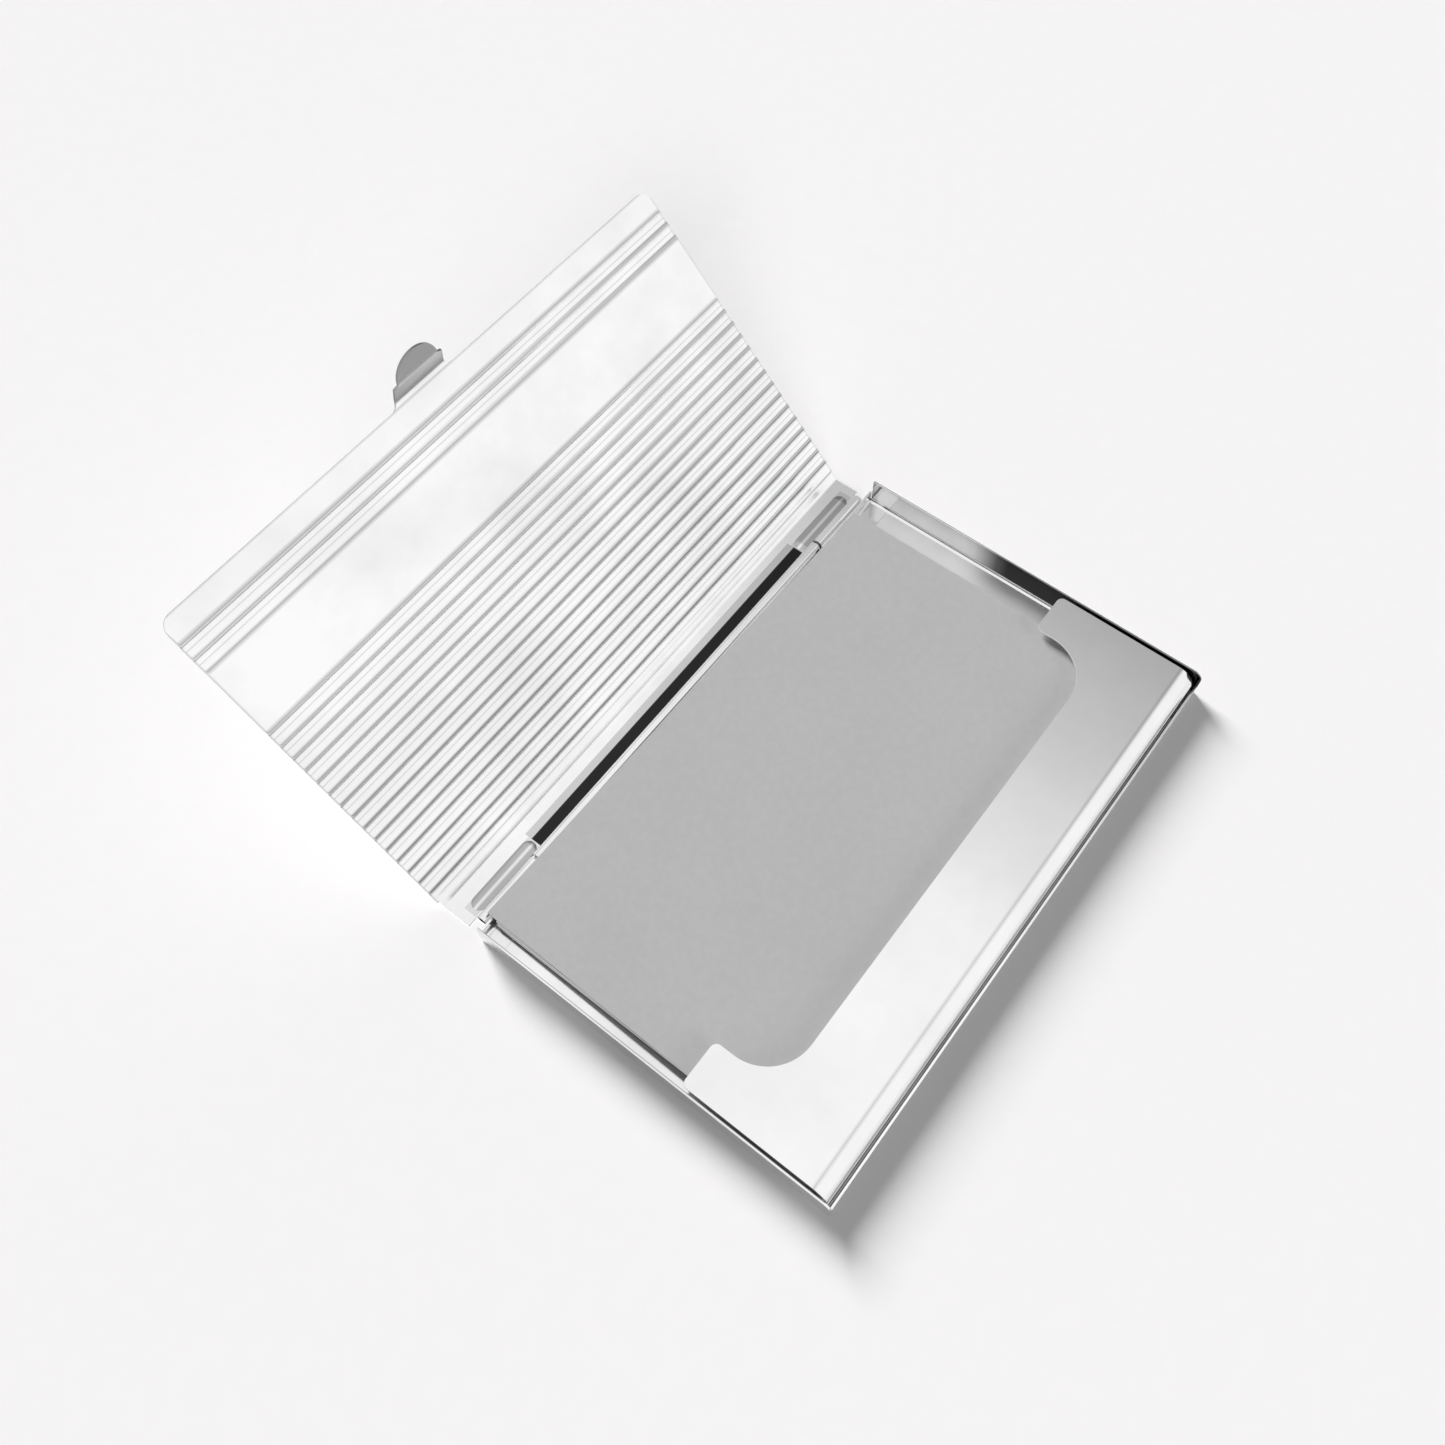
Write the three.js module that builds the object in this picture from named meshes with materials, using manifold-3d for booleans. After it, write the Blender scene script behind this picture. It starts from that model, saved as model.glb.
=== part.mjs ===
// A pocket case for business cards, pressed from polished sheet steel and lying open on its base.
// A shallow tray holds the card stack, a retainer hooks over the front of the cards, and a ribbed
// lid with a thumb tab turns on knuckles curled from the sheets themselves along the rear edge.
// Frame: +X along the hinge, +Y to the rear, +Z up, origin on the underside of the tray.
// Millimetres.
import * as THREE from 'three';
import { mergeVertices } from 'three/addons/utils/BufferGeometryUtils.js';
import Module from 'manifold-3d';

const wasm = await Module();
wasm.setup();

// ---- Tray ----
const CASE_WIDTH = 94;
const CASE_DEPTH = 58.8;
const SHEET = 0.35;
const WALL_HEIGHT = 5.1;
const FRONT_WALL_HEIGHT = 2.1;
const TRAY_BEND = 0.6;
const WALL_CORNER = 1.4;
const REAR_LIP_HEIGHT = 2.3;
const REAR_LIP_SETBACK = 0.1;

// ---- Card retainer ----
const RETAINER_SHEET = 0.3;
const RETAINER_SIDE_GAP = 0.4;
const RETAINER_FRONT_GAP = 0.3;
const RETAINER_DROP = 0.2;
const ROLL_RADIUS = 3.0;
const FOOT_DEPTH = 1.9;
const FOOT_GAP = 0.1;
const FOOT_BEND = 0.5;
const EAR_WIDTH = 7.1;
const EAR_DEPTH = 24.0;
const EAR_CORNER = 1.0;
const NOTCH_DEPTH = 13.8;
const NOTCH_RADIUS = 7.2;

// ---- Cards ----
const CARD_SIDE_ROOM = 8.3;
const CARD_FRONT_GAP = 0.3;
const CARD_THICKNESS = 0.28;
const CARD_GAP = 0.02;
const CARD_COUNT = 11;
const CARD_REAR_GAP = 0.8;
const CARD_SHIFT = -1.6;
const TOP_CARD_TURN_DEG = -0.9;
const TOP_CARD_OVERHANG = 0.2;

// ---- Hinge ----
const PIN_RADIUS = 0.5;
const PIN_CLEARANCE = 0.05;
const PIN_CHAMFER = 0.15;
const PIN_END_INSET = 0.25;
const PIN_HEIGHT = 1.0;
const PIN_BEHIND_WALLS = 1.55;
const KNUCKLE_SIDE_INSET = 2;
const LID_KNUCKLE_LENGTH = 11.1;
const KNUCKLE_GAP = 0.5;
const KNUCKLE_SLOT = 0.2;
const CURL_SEAM = 0.1;

// ---- Lid ----
const LID_SHEET = 0.35;
const LID_SIDE_INSET = 0.1;
const LID_CLEARANCE = 0.15;
const LID_OPEN_DEG = 133.9;
const LID_FRONT_SETBACK = 2.95;
const LID_CORNER = 2.0;
const SPINE_BEND = 2.6;
const CORNER_STEP = 0.45;
const CORNER_STEP_DEPTH = 6.6;
const BEAD_SIDE_INSET = 2.6;
const BEAD_LENGTH = 12.7;
const BEAD_FROM_PIN = 2.3;
const BEAD_WIDTH = 2.5;
const BEAD_HEIGHT = 0.3;
const RIB_PITCH = 2.25;
const RIB_RELIEF = 0.22;
const RIB_GROOVE = 0.35;
const RIB_FLANK = 0.3;
const FRONT_RIB_START = 3.7;
const FRONT_RIB_GROOVES = 3;
const FIELD_START = 19.1;
const FIELD_REAR_MARGIN = 4.5;

// ---- Thumb tab ----
const TAB_NECK_WIDTH = 9.2;
const TAB_FILLET = 1.3;
const TAB_BEND_START = 0.8;
const TAB_BAND_LENGTH = 3.1;
const TAB_BEND = 1.0;
const TAB_BAND_DEG = 54;
const TAB_LIP_DEG = 40;
const TAB_LIP_LENGTH = 3.3;
const TAB_LIP_WIDTH = 7.4;
const TAB_CREASE_WIDTH = 9.0;

// ---- Derived sizes ----
const HALF_WIDTH = CASE_WIDTH / 2;
const FRONT_Y = -CASE_DEPTH / 2;
const REAR_Y = CASE_DEPTH / 2;
const LIP_INNER_Y = REAR_Y + REAR_LIP_SETBACK;
const PIN_Y = REAR_Y + PIN_BEHIND_WALLS;
const CARD_WIDTH = CASE_WIDTH - 2 * SHEET - CARD_SIDE_ROOM;
const FOOT_END_Y = FRONT_Y + SHEET + RETAINER_FRONT_GAP + RETAINER_SHEET / 2 + FOOT_DEPTH;
const CARD_DEPTH = REAR_Y - CARD_REAR_GAP - FOOT_END_Y - CARD_FRONT_GAP;
const LID_KNUCKLE_END = HALF_WIDTH - KNUCKLE_SIDE_INSET;
const LID_KNUCKLE_START = LID_KNUCKLE_END - LID_KNUCKLE_LENGTH;
const BASE_KNUCKLE_HALF = LID_KNUCKLE_START - KNUCKLE_GAP;
const LID_LENGTH = PIN_Y - FRONT_Y - LID_FRONT_SETBACK;
const BEAD_END = HALF_WIDTH - BEAD_SIDE_INSET;
const BEAD_START = BEAD_END - BEAD_LENGTH;
const FIELD_GROOVES = Math.floor((LID_LENGTH - FIELD_START - FIELD_REAR_MARGIN) / RIB_PITCH) + 1;
const BASE_CURL_MID = PIN_HEIGHT - SHEET / 2;
const LID_CURL_INNER = PIN_RADIUS + PIN_CLEARANCE;
const LID_CURL_MID = LID_CURL_INNER + LID_SHEET / 2;
const LID_MID_RISE = WALL_HEIGHT + LID_CLEARANCE + LID_SHEET / 2 - PIN_HEIGHT;
const LID_HALF_WIDTH = HALF_WIDTH - LID_SIDE_INSET;
const OPEN = THREE.MathUtils.degToRad(LID_OPEN_DEG);
const RETAINER_HALF_WIDTH = HALF_WIDTH - SHEET - RETAINER_SIDE_GAP;
const RETAINER_TOP = WALL_HEIGHT - RETAINER_DROP;

// ---- Materials ----
const polished = () => new THREE.MeshStandardMaterial({ color: 0xd9d9db, roughness: 0.14, metalness: 1 });
const pinSteel = () => new THREE.MeshStandardMaterial({ color: 0x9a9b9e, roughness: 0.3, metalness: 1 });
const cardPaper = () => new THREE.MeshStandardMaterial({ color: 0xb9b9b9, roughness: 0.85, metalness: 0 });

// ---- Geometry helpers ----
const v2 = (x, y) => new THREE.Vector2(x, y);

// Replaces each inner corner of a polyline by an arc of the given radius.
function roundedPath(points, radius, segments = 4, share = 0.45) {
  const out = [points[0].clone()];
  for (let i = 1; i < points.length - 1; i++) {
    const p = points[i];
    const a = points[i - 1].clone().sub(p);
    const b = points[i + 1].clone().sub(p);
    const lengthA = a.length();
    const lengthB = b.length();
    a.divideScalar(lengthA);
    b.divideScalar(lengthB);
    const half = Math.acos(THREE.MathUtils.clamp(a.dot(b), -1, 1)) / 2;
    const reach = Math.min(radius / Math.tan(half), share * lengthA, share * lengthB);
    const r = reach * Math.tan(half);
    if (r < 0.02) {
      out.push(p.clone());
      continue;
    }
    const centre = a.clone().add(b).normalize().multiplyScalar(r / Math.sin(half)).add(p);
    const from = a.clone().multiplyScalar(reach).add(p).sub(centre);
    const to = b.clone().multiplyScalar(reach).add(p).sub(centre);
    const start = Math.atan2(from.y, from.x);
    let sweep = Math.atan2(to.y, to.x) - start;
    if (sweep > Math.PI) sweep -= 2 * Math.PI;
    if (sweep < -Math.PI) sweep += 2 * Math.PI;
    for (let k = 0; k <= segments; k++) {
      const angle = start + (sweep * k) / segments;
      out.push(v2(centre.x + r * Math.cos(angle), centre.y + r * Math.sin(angle)));
    }
  }
  out.push(points[points.length - 1].clone());
  return out;
}

// Outline of a bent sheet of constant thickness whose middle follows a path.
function sheetOutline(path, thickness) {
  const left = [];
  const right = [];
  for (let i = 0; i < path.length; i++) {
    const before = path[Math.max(i - 1, 0)];
    const after = path[Math.min(i + 1, path.length - 1)];
    const d1 = i > 0 ? path[i].clone().sub(before).normalize() : after.clone().sub(path[i]).normalize();
    const d2 = i < path.length - 1 ? after.clone().sub(path[i]).normalize() : d1;
    const mean = d1.clone().add(d2).normalize();
    const normal = v2(-mean.y, mean.x);
    const stretch = thickness / 2 / Math.max(normal.dot(v2(-d1.y, d1.x)), 0.5);
    left.push(path[i].clone().addScaledVector(normal, stretch));
    right.push(path[i].clone().addScaledVector(normal, -stretch));
  }
  return left.concat(right.reverse());
}

// Extrudes an outline drawn in the YZ plane along X, from x0 to x1.
function alongX(outline, x0, x1) {
  const geometry = new THREE.ExtrudeGeometry(new THREE.Shape(outline), { depth: x1 - x0, bevelEnabled: false });
  geometry.applyMatrix4(new THREE.Matrix4().makeBasis(
    new THREE.Vector3(0, 1, 0), new THREE.Vector3(0, 0, 1), new THREE.Vector3(1, 0, 0)));
  geometry.translate(x0, 0, 0);
  return geometry;
}

// Extrudes a plan outline drawn in the XY plane upwards, from z0 to z1.
function upZ(shape, z0, z1, curveSegments = 12) {
  const geometry = new THREE.ExtrudeGeometry(shape, { depth: z1 - z0, bevelEnabled: false, curveSegments });
  geometry.translate(0, 0, z0);
  return geometry;
}

function block(x0, x1, y0, y1, z0, z1) {
  const geometry = new THREE.BoxGeometry(x1 - x0, y1 - y0, z1 - z0);
  geometry.translate((x0 + x1) / 2, (y0 + y1) / 2, (z0 + z1) / 2);
  return geometry;
}

function solid(geometry) {
  const bare = geometry.clone();
  bare.deleteAttribute('normal');
  bare.deleteAttribute('uv');
  const merged = mergeVertices(bare, 1e-5);
  return new wasm.Manifold(new wasm.Mesh({
    numProp: 3,
    vertProperties: new Float32Array(merged.attributes.position.array),
    triVerts: new Uint32Array(merged.index.array),
  }));
}

function geometryOf(manifold) {
  const mesh = manifold.getMesh();
  const geometry = new THREE.BufferGeometry();
  geometry.setAttribute('position', new THREE.BufferAttribute(new Float32Array(mesh.vertProperties), 3));
  geometry.setIndex(new THREE.BufferAttribute(new Uint32Array(mesh.triVerts), 1));
  geometry.computeVertexNormals();
  return geometry;
}

function piece(name, geometry, material) {
  const mesh = new THREE.Mesh(geometry, material);
  mesh.name = name;
  return mesh;
}

// Middle line of a curl around the pin, from an angle through a sweep.
function curl(cy, cz, radius, from, sweep, segments = 18) {
  const out = [];
  for (let k = 0; k <= segments; k++) {
    const angle = from + (sweep * k) / segments;
    out.push(v2(cy + radius * Math.cos(angle), cz + radius * Math.sin(angle)));
  }
  return out;
}

// A curl stops where its outer edge would meet the inner face of its own tail.
function curlSweep(mid, thickness) {
  const inner = mid - thickness / 2;
  const outer = mid + thickness / 2;
  return 2 * Math.PI - Math.acos((inner - CURL_SEAM) / outer);
}

// ---- Tray: front wall, floor and centre knuckle in one sheet, low rear lips, side walls ----
function makeTray() {
  const mid = SHEET / 2;
  const frontTop = v2(FRONT_Y + mid, FRONT_WALL_HEIGHT);
  const frontFoot = v2(FRONT_Y + mid, mid);
  const folded = roundedPath([frontTop, frontFoot, v2(0, mid)], TRAY_BEND);
  const sweep = curlSweep(BASE_CURL_MID, SHEET);
  const knuckle = folded.concat(curl(PIN_Y, PIN_HEIGHT, BASE_CURL_MID, -Math.PI / 2, sweep));
  let tray = solid(alongX(sheetOutline(knuckle, SHEET), -BASE_KNUCKLE_HALF, BASE_KNUCKLE_HALF));
  const lipY = LIP_INNER_Y + mid;
  const lip = roundedPath([frontTop, frontFoot, v2(lipY, mid), v2(lipY, REAR_LIP_HEIGHT)], TRAY_BEND);
  const lipOutline = sheetOutline(lip, SHEET);
  const lipStart = BASE_KNUCKLE_HALF - 1;
  tray = tray.add(solid(alongX(lipOutline, -HALF_WIDTH + mid, -lipStart)));
  tray = tray.add(solid(alongX(lipOutline, lipStart, HALF_WIDTH - mid)));

  // The side walls have rounded front corners.
  const c = WALL_CORNER;
  const side = new THREE.Shape();
  side.moveTo(FRONT_Y, 0);
  side.lineTo(REAR_Y, 0);
  side.lineTo(REAR_Y, WALL_HEIGHT);
  side.lineTo(FRONT_Y + c, WALL_HEIGHT);
  side.absarc(FRONT_Y + c, WALL_HEIGHT - c, c, Math.PI / 2, Math.PI, false);
  side.lineTo(FRONT_Y, 0);
  const wall = side.getPoints(5);
  wall.pop();
  tray = tray.add(solid(alongX(wall, -HALF_WIDTH, -HALF_WIDTH + SHEET)));
  tray = tray.add(solid(alongX(wall, HALF_WIDTH - SHEET, HALF_WIDTH)));
  return geometryOf(tray);
}

// ---- Retainer: foot on the floor, front skirt, rolled front edge, top flap with ears ----
function makeRetainer() {
  const t = RETAINER_SHEET;
  const skirtY = FRONT_Y + SHEET + RETAINER_FRONT_GAP + t / 2;
  const top = RETAINER_TOP - t / 2;
  const footZ = SHEET + FOOT_GAP + t / 2;
  const rollR = ROLL_RADIUS - t / 2;
  const foot = [v2(skirtY + FOOT_DEPTH, footZ), v2(skirtY, footZ), v2(skirtY, top - rollR)];
  const path = roundedPath(foot, FOOT_BEND, 3);
  path.pop();
  for (let k = 0; k <= 8; k++) {
    const angle = Math.PI - (Math.PI / 2) * (k / 8);
    path.push(v2(skirtY + rollR + rollR * Math.cos(angle), top - rollR + rollR * Math.sin(angle)));
  }
  path.push(v2(FRONT_Y + EAR_DEPTH, top));
  const sheet = solid(alongX(sheetOutline(path, t), -RETAINER_HALF_WIDTH, RETAINER_HALF_WIDTH));

  // Plan outline: two ears beside a wide thumb notch with rounded corners.
  const w = RETAINER_HALF_WIDTH;
  const earInner = w - EAR_WIDTH;
  const earY = FRONT_Y + EAR_DEPTH;
  const notchY = FRONT_Y + NOTCH_DEPTH;
  const r = NOTCH_RADIUS;
  const e = EAR_CORNER;
  const plan = new THREE.Shape();
  plan.moveTo(-w, FRONT_Y - 1);
  plan.lineTo(w, FRONT_Y - 1);
  plan.lineTo(w, earY - e);
  plan.absarc(w - e, earY - e, e, 0, Math.PI / 2, false);
  plan.lineTo(earInner + e, earY);
  plan.absarc(earInner + e, earY - e, e, Math.PI / 2, Math.PI, false);
  plan.lineTo(earInner, notchY + r);
  plan.absarc(earInner - r, notchY + r, r, 0, -Math.PI / 2, true);
  plan.lineTo(-earInner + r, notchY);
  plan.absarc(-earInner + r, notchY + r, r, -Math.PI / 2, -Math.PI, true);
  plan.lineTo(-earInner, earY - e);
  plan.absarc(-earInner - e, earY - e, e, 0, Math.PI / 2, false);
  plan.lineTo(-w + e, earY);
  plan.absarc(-w + e, earY - e, e, Math.PI / 2, Math.PI, false);
  plan.lineTo(-w, FRONT_Y - 1);
  return geometryOf(sheet.intersect(solid(upZ(plan, -1, RETAINER_TOP + 1, 10))));
}

// ---- Cards: a nearly square stack, with the top card turned a little over the rear lip ----
function cardShape() {
  const shape = new THREE.Shape();
  shape.moveTo(-CARD_WIDTH / 2, -CARD_DEPTH);
  shape.lineTo(CARD_WIDTH / 2, -CARD_DEPTH);
  shape.lineTo(CARD_WIDTH / 2, 0);
  shape.lineTo(-CARD_WIDTH / 2, 0);
  shape.lineTo(-CARD_WIDTH / 2, -CARD_DEPTH);
  return shape;
}

function makeCards() {
  const cards = [];
  const pitch = CARD_THICKNESS + CARD_GAP;
  const jog = [[0.1, 0.12], [-0.25, 0.05], [0.3, -0.1], [-0.1, 0.15], [0.2, 0.0], [-0.3, 0.1],
    [0.05, -0.12], [0.25, 0.08], [-0.15, -0.05]];
  for (let i = 0; i < CARD_COUNT; i++) {
    const top = i === CARD_COUNT - 1;
    const name = top ? 'card_top' : `card_${String(i + 1).padStart(2, '0')}`;
    const card = piece(name, upZ(cardShape(), 0, CARD_THICKNESS), cardPaper());
    const [dx, turn] = jog[i % jog.length];
    const turnDeg = top ? TOP_CARD_TURN_DEG : turn;
    card.rotation.z = THREE.MathUtils.degToRad(turnDeg);
    const overhang = top ? TOP_CARD_OVERHANG : -CARD_REAR_GAP;
    card.position.set(CARD_SHIFT + (top ? 0 : dx), REAR_Y + overhang, SHEET + CARD_GAP + i * pitch);
    cards.push(card);
  }
  return cards;
}

// ---- Hinge pin ----
function makePin() {
  const half = LID_KNUCKLE_END - PIN_END_INSET;
  const r = PIN_RADIUS;
  const profile = [
    v2(0, -half),
    v2(r - PIN_CHAMFER, -half),
    v2(r, -half + PIN_CHAMFER),
    v2(r, half - PIN_CHAMFER),
    v2(r - PIN_CHAMFER, half),
    v2(0, half),
  ];
  const geometry = new THREE.LatheGeometry(profile, 24);
  geometry.rotateZ(Math.PI / 2);
  return geometry;
}

// ---- Lid, drawn closed with the pin at the origin: y to the rear, z up ----
// The spine is the rear strip of the lid sheet. It slopes down to the end knuckles, and lies flat
// just above the table when the lid is open. A raised bead stiffens each end of it.
const spineNormal = v2(Math.sin(OPEN), -Math.cos(OPEN));
const spineDir = v2(-Math.cos(OPEN), -Math.sin(OPEN));
const freeY = -LID_LENGTH;

// A point at a distance from the pin across the spine, and a distance up the spine from its foot.
function spinePoint(distance, up) {
  return spineNormal.clone().multiplyScalar(distance).addScaledVector(spineDir, -up);
}

function lidPath() {
  const z = LID_MID_RISE;
  const path = [v2(freeY, z)];
  const addRibs = (start, grooves) => {
    for (let i = 0; i < grooves; i++) {
      const s = freeY + start + i * RIB_PITCH;
      path.push(v2(s - RIB_GROOVE / 2, z));
      path.push(v2(s + RIB_GROOVE / 2, z));
      if (i < grooves - 1) {
        path.push(v2(s + RIB_GROOVE / 2 + RIB_FLANK, z + RIB_RELIEF));
        path.push(v2(s + RIB_PITCH - RIB_GROOVE / 2 - RIB_FLANK, z + RIB_RELIEF));
      }
    }
  };
  addRibs(FRONT_RIB_START, FRONT_RIB_GROOVES);
  addRibs(FIELD_START, FIELD_GROOVES);
  const bendY = (LID_CURL_MID + z * Math.cos(OPEN)) / Math.sin(OPEN);
  const last = path[path.length - 1];
  const foot = spinePoint(LID_CURL_MID, 0);
  path.push(...roundedPath([last, v2(bendY, z), foot], SPINE_BEND, 7, 0.92).slice(1, -1));
  const start = Math.atan2(spineNormal.y, spineNormal.x);
  path.push(...curl(0, 0, LID_CURL_MID, start, -curlSweep(LID_CURL_MID, LID_SHEET)));
  return path;
}

// Cutter that removes the curl and the foot of the spine between x0 and x1, up to a height.
function spineCutter(x0, x1, up) {
  const far = 3 * PIN_HEIGHT;
  const outline = [spinePoint(far, -far), spinePoint(far, up), spinePoint(-far, up), spinePoint(-far, -far)];
  return solid(alongX(outline, x0, x1));
}

// Everything on the outer side of the middle of the spine sheet.
function outsideSpine() {
  const far = 6 * PIN_HEIGHT;
  const outline = [
    spinePoint(LID_CURL_MID, -far),
    spinePoint(far, -far),
    spinePoint(far, far),
    spinePoint(LID_CURL_MID, far),
  ];
  return solid(alongX(outline, -HALF_WIDTH, HALF_WIDTH));
}

// Raised bead on the inner face of the spine, from x0 to x1, with rounded ends.
function bead(x0, x1) {
  const angle = Math.atan2(spineDir.y, spineDir.x);
  const half = BEAD_WIDTH / 2;
  const shape = new THREE.CapsuleGeometry(half, Math.abs(x1 - x0) - BEAD_WIDTH, 6, 12);
  shape.rotateZ(Math.PI / 2);
  shape.scale(1, 1, BEAD_HEIGHT / half);
  shape.rotateX(angle);
  const centre = spinePoint(LID_CURL_INNER, BEAD_FROM_PIN);
  shape.translate((x0 + x1) / 2, centre.x, centre.y);
  return solid(shape);
}

function tabSheet(z, root) {
  const band = THREE.MathUtils.degToRad(TAB_BAND_DEG);
  const lip = THREE.MathUtils.degToRad(TAB_LIP_DEG);
  const start = v2(freeY - TAB_BEND_START, z);
  const crease = v2(start.x - TAB_BAND_LENGTH * Math.cos(band), z - TAB_BAND_LENGTH * Math.sin(band));
  const tip = v2(crease.x - TAB_LIP_LENGTH * Math.cos(lip), crease.y - TAB_LIP_LENGTH * Math.sin(lip));
  const path = roundedPath([v2(root, z), start, crease, tip], TAB_BEND, 5);
  return { path, creaseY: crease.x, tipY: tip.x };
}

function makeLid() {
  const w = LID_HALF_WIDTH;
  const c = LID_CORNER;
  const z = LID_MID_RISE;
  let plate = solid(alongX(sheetOutline(lidPath(), LID_SHEET), -w, w));
  const rear = 4 * PIN_HEIGHT;
  const plan = new THREE.Shape();
  plan.moveTo(-w, rear);
  plan.lineTo(-w, freeY + c);
  plan.absarc(-w + c, freeY + c, c, Math.PI, 1.5 * Math.PI, false);
  plan.lineTo(w - c, freeY);
  plan.absarc(w - c, freeY + c, c, 1.5 * Math.PI, 2 * Math.PI, false);
  plan.lineTo(w, rear);
  plan.lineTo(-w, rear);
  plate = plate.intersect(solid(upZ(plan, -20, 20, 6)));

  // The sheet is cut back between the knuckles and outside them.
  const clear = PIN_HEIGHT + KNUCKLE_SLOT;
  plate = plate.subtract(spineCutter(-LID_KNUCKLE_START, LID_KNUCKLE_START, clear));
  plate = plate.subtract(spineCutter(-w - 1, -LID_KNUCKLE_END, clear));
  plate = plate.subtract(spineCutter(LID_KNUCKLE_END, w + 1, clear));

  // The rear corners are stepped in so that they pass between the ends of the side walls.
  const step = HALF_WIDTH - CORNER_STEP;
  plate = plate.subtract(spineCutter(step, w + 1, CORNER_STEP_DEPTH));
  plate = plate.subtract(spineCutter(-w - 1, -step, CORNER_STEP_DEPTH));

  plate = plate.add(bead(BEAD_START, BEAD_END).subtract(outsideSpine()));
  plate = plate.add(bead(-BEAD_END, -BEAD_START).subtract(outsideSpine()));

  // The tab bends down over the rolled front edge and ends in a half-round lip for the nail.
  const root = freeY + FRONT_RIB_START - RIB_GROOVE;
  const { path, creaseY, tipY } = tabSheet(z, root);
  const neck = TAB_NECK_WIDTH / 2;
  const crease = TAB_CREASE_WIDTH / 2;
  const lip = TAB_LIP_WIDTH / 2;
  const f = TAB_FILLET;
  const outline = [v2(-neck - f, root + 0.2), v2(-neck - f, freeY)];
  for (let k = 1; k <= 5; k++) {
    const angle = (Math.PI / 2) * (1 - k / 5);
    outline.push(v2(-neck - f + f * Math.cos(angle), freeY - f + f * Math.sin(angle)));
  }
  outline.push(v2(-crease, creaseY + 0.25), v2(-lip, creaseY));
  for (let k = 1; k < 16; k++) {
    const angle = Math.PI * (k / 16);
    outline.push(v2(-lip * Math.cos(angle), creaseY + (tipY - creaseY) * Math.sin(angle)));
  }
  outline.push(v2(lip, creaseY), v2(crease, creaseY + 0.25));
  for (let k = 0; k <= 5; k++) {
    const angle = Math.PI - (Math.PI / 2) * (k / 5);
    outline.push(v2(neck + f + f * Math.cos(angle), freeY - f + f * Math.sin(angle)));
  }
  outline.push(v2(neck + f, root + 0.2));
  const tabWidth = neck + f + 1;
  const tab = solid(alongX(sheetOutline(path, LID_SHEET), -tabWidth, tabWidth));
  return geometryOf(plate.add(tab.intersect(solid(upZ(new THREE.Shape(outline), -20, 20)))));
}

// ---- Assembly ----
const cardCase = new THREE.Group();
cardCase.add(piece('tray', makeTray(), polished()));
cardCase.add(piece('card_retainer', makeRetainer(), polished()));
cardCase.add(...makeCards());

const pin = piece('hinge_pin', makePin(), pinSteel());
pin.position.set(0, PIN_Y, PIN_HEIGHT);
cardCase.add(pin);

const lid = piece('lid', makeLid(), polished());
lid.position.set(0, PIN_Y, PIN_HEIGHT);
lid.rotation.x = -OPEN;
cardCase.add(lid);

export default cardCase;
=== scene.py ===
# A pressed, polished-steel case for business cards, open on a pale floor.
import math

import bmesh
import bpy
from mathutils import Matrix, Vector


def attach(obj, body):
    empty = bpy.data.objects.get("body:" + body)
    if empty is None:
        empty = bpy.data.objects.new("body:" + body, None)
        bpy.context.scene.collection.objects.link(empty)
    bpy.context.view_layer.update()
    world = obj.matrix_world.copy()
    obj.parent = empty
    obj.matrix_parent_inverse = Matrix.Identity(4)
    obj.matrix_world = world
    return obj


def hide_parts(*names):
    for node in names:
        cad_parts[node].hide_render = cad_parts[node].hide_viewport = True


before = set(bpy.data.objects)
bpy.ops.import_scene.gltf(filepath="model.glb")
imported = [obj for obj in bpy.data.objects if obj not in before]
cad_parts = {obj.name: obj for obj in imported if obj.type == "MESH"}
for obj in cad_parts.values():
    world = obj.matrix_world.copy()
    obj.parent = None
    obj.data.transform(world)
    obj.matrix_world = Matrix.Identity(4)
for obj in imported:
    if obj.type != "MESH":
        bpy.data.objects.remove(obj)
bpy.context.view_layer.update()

MM = 0.001

# ---- Sizes, in millimetres, the same as the CAD part ----
WIDTH, DEPTH, SHEET, WALL = 94.0, 58.8, 0.35, 5.1
HALF, FRONT, REAR = WIDTH / 2, -DEPTH / 2, DEPTH / 2
PIN_Y, PIN_Z = REAR + 1.55, 1.0
FRONT_WALL, LIP_TOP, LIP_Y = 2.1, 2.3, REAR + 0.1
TRAY_BEND, WALL_CORNER, FLOOR_END = 0.6, 1.4, 26.0
KNUCKLE_END = HALF - 2.0
KNUCKLE_START = KNUCKLE_END - 11.1
BASE_KNUCKLE_HALF = KNUCKLE_START - 0.5
CURL_SEAM = 0.1

OPEN = math.radians(133.9)
LID_T, LID_LEN, LID_HALF = 0.35, PIN_Y - FRONT - 2.95, HALF - 0.1
LID_Z = WALL + 0.15 + LID_T / 2 - PIN_Z
LID_CURL = 0.55 + LID_T / 2
LID_CORNER, SPINE_BEND = 2.0, 2.6
CORNER_STEP, CORNER_STEP_DEPTH, KNUCKLE_SLOT = 0.45, 6.6, 0.2
RIB_PITCH, RIB_RELIEF = 2.25, 0.22
GROOVES = [[3.7 + i * RIB_PITCH for i in range(3)], [19.1 + i * RIB_PITCH for i in range(16)]]
BEAD_END = HALF - 2.6
BEAD_START = BEAD_END - 12.7
BEAD_FROM_PIN, BEAD_WIDTH, BEAD_HEIGHT = 2.3, 2.5, 0.3

NECK_HALF, CREASE_HALF, LIP_HALF, TAB_FILLET = 4.6, 4.5, 3.7, 1.3
TAB_START, BAND_LENGTH, LIP_LENGTH, TAB_BEND = 0.8, 3.1, 3.3, 1.0
BAND_TILT, LIP_TILT = math.radians(54), math.radians(40)

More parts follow.
